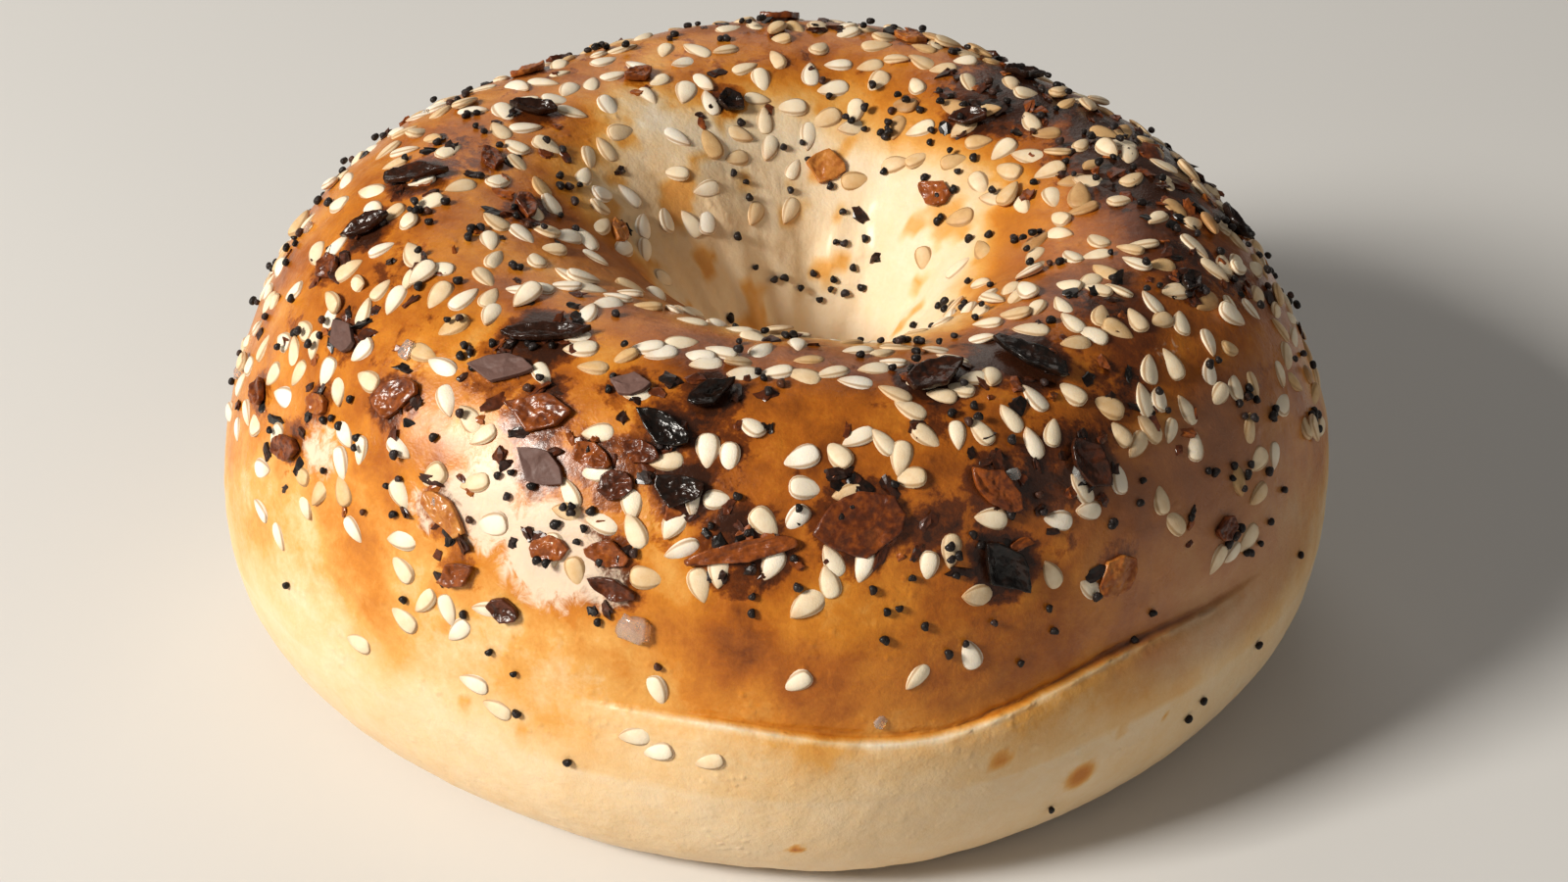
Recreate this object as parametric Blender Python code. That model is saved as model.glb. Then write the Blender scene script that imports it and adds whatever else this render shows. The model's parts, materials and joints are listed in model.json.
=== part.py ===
"""Everything bagel: one baked ring of dough, and the larger flakes of onion and garlic lying on its crust.

The ring's section is swept round the hole's axis. A place on the crust is an azimuth round that axis and a
section angle: 0 at the widest circle, 90 at the crest, 180 at the hole's waist and 270 at the flat base.
"""

import math
import random

import bmesh
import bpy
from mathutils import Matrix, Vector

MM = 0.001

# Driving dimensions in millimetres. Angles are in degrees.
LENGTH = 112.0
DEPTH = 102.0
HEIGHT = 48.8
HOLE_RADIUS = 5.0
WAIST_HEIGHT = 15.0
CREST_SHARE = 0.55
UPPER_POWER = 2.0
LOWER_POWER = 2.2
BASE_CUT = 4.0
BASE_FILLET = 1.5

# What makes the ring uneven: its oval is fuller at the four ends and at the near right shoulder, its middle
# lies to one side of the hole's axis, and its crest is higher on the far left than on the near right.
END_FULLNESS = 1.0
SHOULDER_FULLNESS = 0.6
SHOULDER_AZIMUTH = 300
MIDDLE_SHIFT = 3.5
MIDDLE_AZIMUTH = 150
CREST_TILT = 2.5
CREST_TILT_AZIMUTH = 140

# Waves as (cycles a turn, size, azimuth of one peak).
OUTER_RADIUS = (LENGTH + DEPTH) / 4 - END_FULLNESS
RIM_WAVES = (
    (1, MIDDLE_SHIFT, MIDDLE_AZIMUTH),
    (2, (LENGTH - DEPTH) / 4, 0),
    (3, SHOULDER_FULLNESS, SHOULDER_AZIMUTH),
    (4, END_FULLNESS, 0),
)
CREST_WAVES = ((1, CREST_TILT, CREST_TILT_AZIMUTH),)
HOLE_WAVES = ((2, 0.3, 40), (3, 0.3, 75))

# The torn seam on the near side, where the glazed top meets the pale band that rested on the tray.
SEAM_SECTION = 12.0
SEAM_WAVES = ((5, 1.6, 318), (9, 0.7, 262))
SEAM_MIDDLE = 286
SEAM_HALF_LENGTH = 46
SEAM_FADE = 14
SEAM_STEP = 0.5
SEAM_WIDTH = 0.7
SEAM_REACH = 22

# Folds that run down the hole's wall, and the soft swell of the crust.
FOLD_DEPTH = 0.3
FOLD_COUNTS = (7, 11)
FOLD_SECTION = 165
FOLD_REACH = 55
SWELLS = ((3, 2, 40, 0.28), (5, -3, 115, 0.22), (8, 4, 250, 0.14), (4, 5, 300, 0.16))

AZIMUTH_STEPS = 90
SEAM_ROWS = (-6.0, -2.4, -0.7, 0.7, 2.4)
OTHER_ROWS = 36

FLAKE_GAP = 0.35
FLAKE_THICKNESS = 0.75
FLAKE_POINTS = 8
FLAKE_CRUMPLE = 0.2
FLAKE_TAPER = 0.3
ONION_CURL = 0.4
CHARRED_CURL = 0.8
GARLIC_CURL = 0.2

# Flakes as (azimuth, section, length, width, heading of the long side from the azimuth's direction).
ONION_FLAKES = (
    (224, 68, 6.5, 3.2, 20),
    (232, 62, 7.0, 3.5, 5),
    (214, 52, 5.2, 4.2, 60),
    (235, 52, 5.5, 3.8, -22),
    (241, 57, 4.2, 2.8, 0),
    (247, 61, 3.8, 2.6, 0),
    (276, 51, 8.8, 5.8, 5),
    (262, 45, 11.5, 2.0, 15),
    (245, 53, 3.6, 3.4, 30),
    (242, 75, 4.0, 2.4, 20),
    (246, 40, 4.6, 2.8, 0),
    (247, 34, 4.8, 2.2, -10),
    (293, 53, 6.0, 3.2, -50),
    (202, 31, 4.6, 3.4, 30),
    (202, 55, 4.6, 3.0, -10),
    (190, 60, 3.4, 3.0, 0),
    (174, 97, 3.6, 2.4, 20),
    (187, 104, 4.2, 2.6, 0),
    (324, 27, 3.6, 2.8, 0),
    (229, 28, 4.2, 2.8, 40),
    (235, 25, 3.6, 3.0, 0),
    (193, 33, 3.4, 3.0, 0),
    (129, 98, 3.4, 2.2, 0),
    (95, 72, 5.5, 3.2, 20),
    (62, 63, 5.0, 3.0, -30),
    (128, 58, 6.0, 3.0, 50),
    (150, 42, 4.6, 3.2, 10),
    (30, 48, 5.0, 3.4, -20),
    (78, 40, 4.2, 3.0, 30),
)
CHARRED_FLAKES = (
    (225, 81, 8.0, 2.4, 33),
    (249, 67, 6.0, 3.2, -20),
    (254, 78, 4.6, 2.2, 40),
    (290, 84, 6.5, 3.6, 10),
    (308, 82, 8.0, 3.0, -70),
    (253, 55, 5.0, 3.4, 0),
    (306, 53, 6.0, 3.8, -70),
    (292, 39, 6.5, 3.8, -55),
    (188, 71, 5.2, 2.6, 80),
    (180, 83, 6.5, 2.6, 85),
    (155, 97, 5.0, 2.4, -65),
    (113, 112, 3.4, 2.6, 0),
    (47, 106, 4.4, 2.2, 43),
    (345, 72, 3.2, 2.2, 0),
    (110, 45, 5.5, 2.6, -40),
    (50, 80, 4.6, 2.6, 60),
    (8, 58, 4.8, 2.8, 30),
)
GARLIC_FLAKES = (
    (204, 42, 3.2, 2.6, 0),
    (40, 124, 4.2, 3.2, 0),
    (85, 126, 5.0, 3.6, 0),
    (180, 123, 3.4, 2.8, 0),
    (307, 30, 5.6, 3.8, 30),
    (226, 37, 5.6, 3.0, -20),
    (239, 38, 4.4, 2.8, 10),
    (140, 75, 4.4, 3.0, 0),
    (15, 36, 4.0, 2.8, 0),
    (72, 82, 3.6, 2.6, 0),
)


def clear_scene():
    for item in list(bpy.data.objects):
        bpy.data.objects.remove(item, do_unlink=True)


def material(name, colour, roughness):
    """A Principled material with this colour, which is linear RGB, and no metal in it."""
    made = bpy.data.materials.new(name)
    made.use_nodes = True
    shader = made.node_tree.nodes["Principled BSDF"]
    shader.inputs["Base Color"].default_value = (*colour, 1.0)
    shader.inputs["Roughness"].default_value = roughness
    shader.inputs["Metallic"].default_value = 0.0
    made.diffuse_color = (*colour, 1.0)
    return made


def waves(azimuth, terms):
    return sum(size * math.cos(cycles * (azimuth - math.radians(peak))) for cycles, size, peak in terms)


def signed_power(value, power):
    return math.copysign(abs(value) ** power, value)


def turn_between(angle, middle):
    """The angle from middle to angle, in radians, between minus and plus half a turn."""
    return math.remainder(angle - middle, math.tau)


def smooth_step(value):
    share = min(max(value, 0.0), 1.0)
    return share * share * (3 - 2 * share)


def seam_section(azimuth):
    return math.radians(SEAM_SECTION + waves(azimuth, SEAM_WAVES))


def seam_offset(azimuth, section):
    """How far the crust stands out at the seam: the band below it proud, the glazed top above it drawn in."""
    away = math.degrees(abs(turn_between(azimuth, math.radians(SEAM_MIDDLE))))
    along = smooth_step((SEAM_HALF_LENGTH - away) / SEAM_FADE)
    above = math.degrees(turn_between(section, seam_section(azimuth)))
    fade = smooth_step(1 - abs(above) / SEAM_REACH)
    return -SEAM_STEP * along * fade * math.tanh(above / SEAM_WIDTH)


def fold_offset(azimuth, section):
    """Folds in the hole's wall, deepest at its waist."""
    away = math.degrees(abs(turn_between(section, math.radians(FOLD_SECTION))))
    inside = smooth_step(1 - away / FOLD_REACH)
    folds = sum(math.cos(count * azimuth + count) for count in FOLD_COUNTS)
    return FOLD_DEPTH * inside * folds


def swell_offset(azimuth, section):
    """Low swells of the risen crust, none of them on the base."""
    risen = smooth_step(0.5 + math.sin(section))
    rise = sum(
        size * math.cos(round_turns * azimuth + section_turns * section + math.radians(phase))
        for round_turns, section_turns, phase, size in SWELLS
    )
    return risen * rise


def levelled(height):
    """Everything below the base plane is pressed flat on it, through a small fillet."""
    if height >= BASE_FILLET:
        return height
    if height <= -BASE_FILLET:
        return 0.0
    return (height + BASE_FILLET) ** 2 / (4 * BASE_FILLET)


def crust_point(azimuth, section):
    """A point of the bread's surface in millimetres, from the hole's axis and the base plane."""
    outer = OUTER_RADIUS + waves(azimuth, RIM_WAVES)
    height = HEIGHT + waves(azimuth, CREST_WAVES)
    hole = HOLE_RADIUS + waves(azimuth, HOLE_WAVES)
    crest = hole + CREST_SHARE * (outer - hole)
    across = outer - crest if math.cos(section) > 0 else crest - hole
    upward = math.sin(section) > 0
    tall = height - WAIST_HEIGHT if upward else WAIST_HEIGHT + BASE_CUT
    power = 2 / (UPPER_POWER if upward else LOWER_POWER)
    offset = seam_offset(azimuth, section) + fold_offset(azimuth, section) + swell_offset(azimuth, section)
    radius = crest + across * signed_power(math.cos(section), power) + offset * math.cos(section)
    rise = WAIST_HEIGHT + tall * signed_power(math.sin(section), power) + offset * math.sin(section)
    return Vector((radius * math.cos(azimuth), radius * math.sin(azimuth), levelled(rise)))


def crust_frame(azimuth, section):
    """The steps per radian along the azimuth and along the section, and the outward normal."""
    nudge = 0.01
    along = (crust_point(azimuth + nudge, section) - crust_point(azimuth - nudge, section)) / (2 * nudge)
    up = (crust_point(azimuth, section + nudge) - crust_point(azimuth, section - nudge)) / (2 * nudge)
    return along, up, along.cross(up).normalized()


def new_object(name, mesh_points, faces, finish, parent):
    mesh = bpy.data.meshes.new(name)
    mesh.from_pydata(mesh_points, [], faces)
    tidy = bmesh.new()
    tidy.from_mesh(mesh)
    bmesh.ops.recalc_face_normals(tidy, faces=tidy.faces)
    tidy.to_mesh(mesh)
    tidy.free()
    mesh.materials.append(finish)
    mesh.shade_smooth()
    made = bpy.data.objects.new(name, mesh)
    made.parent = parent
    bpy.context.scene.collection.objects.link(made)
    return made


def ring_faces(rings, count):
    """Quads between neighbouring rings of count points each, numbered ring after ring."""
    return [
        (low * count + i, low * count + (i + 1) % count, high * count + (i + 1) % count, high * count + i)
        for low, high in rings
        for i in range(count)
    ]


def make_bread(parent, finish):
    """The ring of dough: rows of points at the same distance from the seam, closed round the section."""
    last = SEAM_ROWS[-1]
    step = (360 - (last - SEAM_ROWS[0])) / OTHER_ROWS
    rows = SEAM_ROWS + tuple(last + step * k for k in range(1, OTHER_ROWS))
    azimuths = [math.tau * i / AZIMUTH_STEPS for i in range(AZIMUTH_STEPS)]
    points = [
        crust_point(azimuth, seam_section(azimuth) + math.radians(row)) * MM
        for row in rows
        for azimuth in azimuths
    ]
    pairs = [(k, (k + 1) % len(rows)) for k in range(len(rows))]
    return new_object("bread", points, ring_faces(pairs, AZIMUTH_STEPS), finish, parent)


def flake_outline(length, width, draw):
    """Corners round a broken chip, long along its first axis and drawn in towards its ends."""
    outline = []
    for k in range(FLAKE_POINTS):
        angle = math.tau * (k + draw.uniform(-0.3, 0.3)) / FLAKE_POINTS
        reach = draw.uniform(0.72, 1.12)
        half_width = width / 2 * (1 - FLAKE_TAPER * abs(math.cos(angle)))
        outline.append((reach * length / 2 * math.cos(angle), reach * half_width * math.sin(angle)))
    return outline


def make_flake(name, place, curl, finish, parent, draw):
    """A chip draped over the crust at a small gap, with a lifted edge and a crumpled face."""
    azimuth, section = math.radians(place[0]), math.radians(place[1])
    length, width, heading = place[2], place[3], math.radians(place[4])
    along, up, normal = crust_frame(azimuth, section)
    outline = flake_outline(length, width, draw)
    lower, upper = [], []
    for share in (1.0, 0.5):
        for x, y in outline:
            east = share * (x * math.cos(heading) - y * math.sin(heading))
            north = share * (x * math.sin(heading) + y * math.cos(heading))
            here = (azimuth + east / along.length, section + north / up.length)
            out = crust_frame(*here)[2]
            low = FLAKE_GAP + curl * share * share + draw.uniform(0, FLAKE_CRUMPLE)
            thick = FLAKE_THICKNESS * (1.1 - 0.4 * share) + draw.uniform(-FLAKE_CRUMPLE, FLAKE_CRUMPLE) / 2
            lower.append(crust_point(*here) + out * low)
            upper.append(crust_point(*here) + out * (low + thick))
    middle = crust_point(azimuth, section) + normal * FLAKE_GAP
    points = lower + upper + [middle, middle + normal * FLAKE_THICKNESS * draw.uniform(0.9, 1.3)]
    faces = ring_faces(((1, 0), (0, 2), (2, 3)), FLAKE_POINTS)
    below, above = len(points) - 2, len(points) - 1
    for i in range(FLAKE_POINTS):
        j = (i + 1) % FLAKE_POINTS
        faces.append((below, FLAKE_POINTS + j, FLAKE_POINTS + i))
        faces.append((above, 3 * FLAKE_POINTS + i, 3 * FLAKE_POINTS + j))
    across = normal.cross(along).normalized()
    turned = Matrix((normal.cross(across) * -1, across, normal)).transposed()
    local = [turned.transposed() @ (point - middle) * MM for point in points]
    made = new_object(name, local, faces, finish, parent)
    made.location = middle * MM
    made.rotation_euler = turned.to_euler()
    return made


def make_flakes(kind, places, curl, finish, parent, seed):
    draw = random.Random(seed)
    return [
        make_flake(f"{kind}_{number:02d}", place, curl, finish, parent, draw)
        for number, place in enumerate(places, start=1)
    ]


def centre_over_origin(parent, pieces):
    """Moves the parent so that the middle of the whole bagel's bounding box is over the origin."""
    bpy.context.view_layer.update()
    corners = [piece.matrix_world @ vertex.co for piece in pieces for vertex in piece.data.vertices]
    for axis in (0, 1):
        values = [corner[axis] for corner in corners]
        parent.location[axis] = -(min(values) + max(values)) / 2


def build():
    clear_scene()
    bagel = bpy.data.objects.new("bagel", None)
    bpy.context.scene.collection.objects.link(bagel)
    pieces = [make_bread(bagel, material("crust", (0.58, 0.27, 0.08), 0.42))]
    onion = material("onion", (0.17, 0.055, 0.025), 0.45)
    charred = material("charred_onion", (0.018, 0.010, 0.008), 0.35)
    garlic = material("garlic", (0.55, 0.22, 0.05), 0.45)
    pieces += make_flakes("onion_flake", ONION_FLAKES, ONION_CURL, onion, bagel, 11)
    pieces += make_flakes("charred_flake", CHARRED_FLAKES, CHARRED_CURL, charred, bagel, 12)
    pieces += make_flakes("garlic_flake", GARLIC_FLAKES, GARLIC_CURL, garlic, bagel, 13)
    centre_over_origin(bagel, pieces)


build()
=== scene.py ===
"""Looks of an everything bagel: its crust, seeds, salt, crumbs and flakes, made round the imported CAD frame.

Lengths are in millimetres and angles in degrees until a mesh is made. A place on the crust is an azimuth
round the hole's axis and a section angle: 0 at the widest circle, 90 at the crest, 180 at the hole's waist,
270 below.
"""

import json
import math
import random

import bmesh
import bpy
import numpy as np
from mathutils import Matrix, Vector, noise
from mathutils.bvhtree import BVHTree


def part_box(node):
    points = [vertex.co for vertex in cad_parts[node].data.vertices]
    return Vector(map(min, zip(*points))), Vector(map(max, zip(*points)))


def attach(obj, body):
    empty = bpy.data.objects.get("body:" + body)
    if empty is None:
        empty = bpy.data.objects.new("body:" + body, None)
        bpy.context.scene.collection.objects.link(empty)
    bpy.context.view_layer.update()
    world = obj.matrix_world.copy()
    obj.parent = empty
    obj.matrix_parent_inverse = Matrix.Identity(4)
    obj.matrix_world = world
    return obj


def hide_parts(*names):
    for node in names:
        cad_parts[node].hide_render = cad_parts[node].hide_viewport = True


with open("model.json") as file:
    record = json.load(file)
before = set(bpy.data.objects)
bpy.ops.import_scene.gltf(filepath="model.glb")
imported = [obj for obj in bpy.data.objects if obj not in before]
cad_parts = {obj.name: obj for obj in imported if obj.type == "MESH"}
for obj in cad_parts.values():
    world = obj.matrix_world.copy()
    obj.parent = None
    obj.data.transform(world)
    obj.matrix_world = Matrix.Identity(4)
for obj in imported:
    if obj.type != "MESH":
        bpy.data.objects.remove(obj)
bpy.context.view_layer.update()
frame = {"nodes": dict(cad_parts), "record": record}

MM = 0.001

# The crust's grid, and the ring-shaped core that its rays start from. The reaches above and below the core
# give the rays their directions, and the blur, in cells, smooths the CAD's facets away.
AZIMUTHS = 512
ROWS = 194
WAIST_HEIGHT = 15.0
HOLE_RADIUS = 5.0
CREST_SHARE = 0.55
TOP_REACH = 34.0
FOOT_REACH = 19.0
CORE_START = 31.0
FACET_BLUR = 2.5

# The seam on the near side, on the same line as the CAD's.
SEAM_SECTION = 12.0
SEAM_WAVES = ((5, 1.6, 318), (9, 0.7, 262))
SEAM_MIDDLE = 286
SEAM_HALF_LENGTH = 46
SEAM_FADE = 26
SEAM_STEP = 0.30
SEAM_LIP = 0.30
SEAM_GROOVE = 0.32
SEAM_EDGE = 0.40

# Creases in the hole's wall: azimuth, width, depth, and how far each leans over per degree of section.
HOLE_CREASES = (
    (152, 1.3, 0.6, 0.10),
    (178, 1.0, 0.5, -0.15),
    (203, 1.6, 1.3, 0.25),
    (226, 1.2, 1.1, 0.05),
    (248, 1.4, 0.9, -0.20),
    (296, 1.0, 0.4, 0.10),
    (20, 1.2, 0.3, -0.05),
)

# Where the glazed top, and then the band below it, are baked darker or paler: the change of tone, the azimuth
# and its reach, the section and its reach.
TOP_TONES = (
    (0.14, 0, 95, 70, 60),
    (0.12, 290, 50, 58, 42),
    (0.15, 350, 140, 88, 28),
    (0.12, 280, 60, 95, 22),
)
BAND_TONES = (
    (-0.10, 222, 55, 22, 32),
    (0.10, 285, 40, 24, 20),
)

# Dark caramel stains, pale patches and small spots: azimuth, section, reach in millimetres, strength.
STAINS = (
    (302, 51, 9, 0.52),
    (284, 49, 6, 0.45),
    (318, 62, 9, 0.34),
    (306, 84, 9, 0.52),
    (288, 72, 6, 0.34),
    (20, 78, 16, 0.78),
    (45, 92, 12, 0.66),
    (352, 66, 10, 0.45),
    (330, 84, 8, 0.34),
    (172, 90, 8, 0.34),
    (198, 74, 7, 0.40),
    (256, 66, 8, 0.46),
    (150, 95, 6, 0.16),
    (255, 70, 8, 0.40),
    (228, 74, 7, 0.35),
    (95, 85, 10, 0.30),
    (120, 60, 9, 0.30),
)
# The pale patches are partly dull, dry glaze and partly a painted highlight where the lamp's sheen falls.
PALE_AND_HIGHLIGHT_PATCHES = (
    (239, 37, 9, 1.0),
    (230, 41, 8, 0.9),
    (246, 34, 5, 0.7),
    (223, 36, 5, 0.6),
    (207, 36, 6, 0.7),
    (330, 62, 5, 0.5),
    (356, 57, 6, 0.5),
)
SPOTS = (
    (301, -13, 2.8, 0.50),
    (268, -22, 1.1, 0.60),
    (290, 4, 2.0, 0.45),
    (266, 17, 1.4, 0.40),
    (306, -3, 1.5, 0.25),
    (231, 5, 1.8, 0.30),
    (238, 3, 1.5, 0.32),
    (313, -6, 0.8, 0.35),
    (60, -8, 1.6, 0.40),
    (130, 2, 1.3, 0.45),
    (170, -16, 1.2, 0.35),
)

# The loose toppings. Gaps between sesame seeds are from middle to middle: under the easy gap only one try in
# ten is kept, and under the touching gap a seed is lifted, to lie on its neighbour.
SESAME_COUNT = 690
SESAME_TRIES = 40000
SESAME_LENGTH = 3.25
SESAME_LENGTH_SPREAD = 0.22
SESAME_SINK = 0.12
SESAME_LIFT = 0.55
LEAST_GAP = 1.2
TOUCHING_GAP = 2.1
EASY_GAP = 2.25
FLAKE_GAP = 0.6
POPPY_COUNT = 540
POPPY_CLUSTERS = (1, 1, 1, 1, 2, 2, 3, 4)
POPPY_CLUSTER_SPREAD = 1.1
POPPY_SIZE = np.array([1.0, 0.78, 0.72])
POPPY_RISE = 0.28
POPPY_RISE_ON_SEED = 0.55
CRUMB_COUNT = 520
CRUMB_TINTS = (0.45, 0.6, 0.65, 0.75, 0.8, 0.9, 1.0)
SALT_COUNT = 12
SALT_SIZE = np.array([1.0, 0.8, 0.5])

# Clear grains of salt that lie alone: azimuth, section and length.
LONE_SALT = ((250, 27, 3.0), (277, 15, 1.2))

# Seeds of the random draws, one for each kind of topping.
DRAWS = {"sesame": 21, "poppy": 22, "crumbs": 23, "salt": 24, "flakes": 25}

# How far a flake's skin is pressed down onto the crust, and the share of its crumpling that goes along its
# own normal, and again along the crust's.
FLAKE_PRESS = 0.78
FLAKE_SWING = 0.6

# The onion flakes that are matt and mauve, not glassy and red-brown.
MATT_FLAKES = ("onion_flake_01", "onion_flake_04", "onion_flake_10", "onion_flake_15")

# The camera looks along +Y and down at this elevation, from this distance to the point it is aimed at.
ELEVATION = 34.2
AIM = (0.74, 0.15, 19.1)
DISTANCE = 321.6
LENS = 72.1
SENSOR = 36
# Lamps: name, place in metres, size in metres, power in watts.
LAMPS = (
    ("key", (-0.72, -0.37, 0.56), 0.24, 12.8),
    ("fill", (0.55, -0.65, 0.45), 0.8, 0.6),
    ("rim", (-0.10, 0.80, 0.55), 0.6, 1.2),
)
LAMP_COLOUR = (1.0, 0.95, 0.87)
SKY_COLOUR = (1.0, 0.96, 0.90, 1.0)
SKY_STRENGTH = 0.14
FLOOR_REACH = 3.0

# The sesame seeds that show most: azimuth, section, and the way each points, turned from +X towards +Y.
SEEDS_BY_HAND = (
    (269, 58, 175), (258, 54, 175), (255, 53, 80), (264, 50, 130), (265, 42, 60), (259, 40, 80),
    (257, 37, 95), (269, 35, 40), (251, 37, 165), (268, 21, 40), (253, 15.5, 90), (251, 7.5, -8),
    (253.5, 5.5, 5), (259, 5.5, 15), (233, 23, -30), (228.5, 20.5, 75), (225.5, 20.5, 10), (230, 17.5, 10),
    (223, 16, -70), (222, 24.5, -80), (221.5, 29.5, -30), (215, 27, 90), (207.5, 26, 85), (205.5, 30, -60),
    (200, 19, -75), (204, 18, 75), (220, 36.5, 85), (223, 42, 5), (211, 36, 60), (213, 40, 40),
    (226.5, 53, 10), (224, 55, -70), (231.5, 38, -15), (228, 44, -10), (239.5, 37.5, 75), (239.5, 48.5, -75),
    (244.5, 45, -25), (247.5, 50, 85), (248.5, 45, -80), (240, 45, -25), (253, 48, 55), (254.5, 43, 10),
    (250.5, 60, 0), (255.5, 64, 85), (258.5, 63, 80), (240.5, 62, -10), (242, 54, -5), (273, 66, -50),
    (268, 65, 20), (274.3, 56.5, 10), (276.4, 54.5, 165), (282, 58.5, 0), (281.5, 63, 80), (279.5, 68, -50),
    (276, 70, 30), (290, 65.5, 95), (293.5, 65, -50), (298.5, 65.5, -50), (300, 58, -60), (304, 69, -45),
    (310, 67, -30), (314, 60, 0), (320.5, 57, -55), (323, 56, -85), (318.5, 51, -15), (321.5, 48, 90),
    (326, 50, -30), (310.5, 44.5, -70), (304.5, 45.5, -30), (304.5, 41, 15), (300, 41.5, 5), (315.5, 37, -55),
    (291.5, 46, 0), (286, 42, 90), (283, 40, 85), (298, 32.5, -45), (288.5, 33, 5), (275.5, 41.5, 75),
    (272, 43, -60), (271.5, 39, -75), (287, 24, -60), (281, 22, 55), (325, 63, -80), (329, 61, -50),
    (327.5, 20, 75), (331, 26, 65), (322, 20, 90), (324.5, 19.5, 60), (336, 47, -70), (334, 38, -60),
    (232, 9, -40), (235, 6, -45), (217, 8, -50), (206, 47, 70), (209, 52, -60), (198, 50, 60),
    (143, 122, 10), (150, 131, -30), (143, 132, -80), (183, 108, -60), (188, 104, -50), (118, 123, 30),
    (118, 134, 75), (125, 119, -60), (100, 134, 70), (200, 105, 10), (210, 103, -35), (213, 94, -40),
    (212, 90, -20), (215, 79, 60), (213, 71, 10), (207, 75, 45), (203, 68, 50), (202, 80, -30),
    (183, 92, 25), (181, 84, 10), (187, 77, 30), (229, 84, 0), (231, 81, -10), (238, 83, 20),
    (240, 88.5, 0), (243, 88, 15), (235, 77, -15), (243, 74, -20), (249, 91, -10), (251, 89, 10),
    (252, 95, -20), (300, 80, 80), (297, 81.5, 20), (293.5, 79, -20), (284.5, 76, -30), (283, 82, -25),
    (288, 85, 10), (290, 78, -10), (291, 92, 20), (297, 93, -20), (315, 92, 0), (322, 87, -50),
    (325, 93, -60), (322, 98, 80), (318, 101, -10), (312, 103, -20), (333, 98, -30), (336, 94, 60),
    (334, 91, -20), (336, 86, -25), (347, 97, 15), (325, 106, 60), (350, 90, -20), (352, 87, 20),
    (15, 100, 0), (13, 97, -15), (5, 101, 15), (12, 106, 90), (26, 98, -25), (32, 96, 5),
    (47, 108, 40), (58, 112, 10), (65, 113, 70), (66, 107, -25), (78, 111, 85), (74, 103, 60),
    (77, 98, 15), (84, 99, 10), (90, 103, -85), (86, 114, 30), (78, 115, 10), (347, 80, 20),
    (331, 76, -60), (337, 67, -80), (322, 80, -15), (318, 80, 20), (263, 91, 10), (268, 90, -20),
    (273, 92, 30), (277, 88, 0), (281, 93, 15), (285, 96, -15), (21, 103, 15), (28, 104, -20),
    (34, 107, 40), (18, 94, 50), (258, 88, 5), (256, 93, 35),
)

# The poppy seeds that show most: azimuth and section.
POPPY_BY_HAND = (
    (206, 11), (243.5, 0.5), (237.5, 6.5), (237, 13.5), (234, 16), (230.5, 21), (223, 19.5), (246, 27),
    (253, 20.5), (239, 42), (238, 35), (229, 37.5), (249, 41), (216, 31), (209, 33.5), (212, 42), (218, 37),
    (230.5, 47), (232, 48.5), (235, 47.5), (232.5, 44), (262, 48), (257.5, 48.5), (263, 33), (263, 36),
    (267.5, 43.5), (268, 38), (281, 38.5), (277.5, 28.5), (282, 30), (284.5, 25), (286.5, 26), (290, 28),
    (297, 27), (303, 26), (297.5, 22.5), (293, 19.5), (311.5, 16.5), (309, 12.5), (298, -24), (319, -8),
    (317, -12), (329, -3), (338, 8), (313.5, 42), (319, 31), (324, 37), (325, 36), (328, 30), (330, 31),
    (324, 22), (333.5, 55), (336, 54), (133, 137), (128, 143), (115, 146), (108, 146), (98, 148), (84, 150),
    (76, 146), (68, 148), (66, 143), (77, 139), (73, 139), (63, 137), (58, 146), (76, 133), (93, 120),
    (99, 130), (47, 122), (38, 124), (35, 121), (32, 127), (15, 126), (10, 122), (345, 135), (350, 128),
    (118, 128), (119, 131), (122, 126), (172, 112), (176, 109), (190, 112), (163, 106), (164, 103),
)


def smooth(value):
    share = np.clip(value, 0.0, 1.0)
    return share * share * (3 - 2 * share)


def rising(value, low, high):
    """0 up to low, 1 from high on, and a smooth rise between them."""
    return smooth((value - low) / (high - low))


def between(section, start, full, fade, end):
    """Rises from 0 to 1 between start and full, and falls back to 0 between fade and end."""
    return rising(section, start, full) * rising(-section, -end, -fade)


def hill(angle, middle, reach):
    """1 at the middle angle, falling smoothly to 0 a reach away on either side."""
    away = np.abs((angle - middle + 180) % 360 - 180)
    return smooth(1 - away / reach)


def waves(azimuth, terms):
    """The sum of some cosine waves round the ring, each with its cycles, size and peak."""
    return sum(size * np.cos(cycles * np.radians(azimuth - peak)) for cycles, size, peak in terms)


def mottle(points, size, seed, octaves=1):
    """Fractal noise of about -1 to 1 at each point, with features of this size."""
    flat = points.reshape(-1, 3) / size + seed * 17.31
    values = [noise.fractal(point, 0.9, 2.1, octaves) for point in flat.tolist()]
    return np.array(values).reshape(points.shape[:-1])


def blurred(grid, sigma):
    """The grid after a Gaussian blur that wraps round at both edges; sigma is in cells."""
    across = np.fft.fftfreq(grid.shape[0])[:, None]
    down = np.fft.fftfreq(grid.shape[1])[None, :]
    weight = np.exp(-2 * (math.pi * sigma) ** 2 * (across**2 + down**2))
    return np.fft.ifft2(np.fft.fft2(grid) * weight).real


def crossed(points):
    """The cross product of the grid's two steps at each point, each step over two cells."""
    along = np.roll(points, -1, 0) - np.roll(points, 1, 0)
    up = np.roll(points, -1, 1) - np.roll(points, 1, 1)
    return np.cross(along, up)


def normals_of(points):
    normal = crossed(points)
    return normal / np.linalg.norm(normal, axis=-1, keepdims=True)


def hole_axis():
    """The hole's axis in the row frame, from the middle of the opening that the record states for it."""
    for opening in frame["record"]["physics"]["openings"]:
        if opening["name"] == "hole":
            low, high = np.array(opening["box_m"])
            return ((low + high) / 2 / MM)[:2]
    raise ValueError("the record states no opening named hole")


AXIS = hole_axis()


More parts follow.
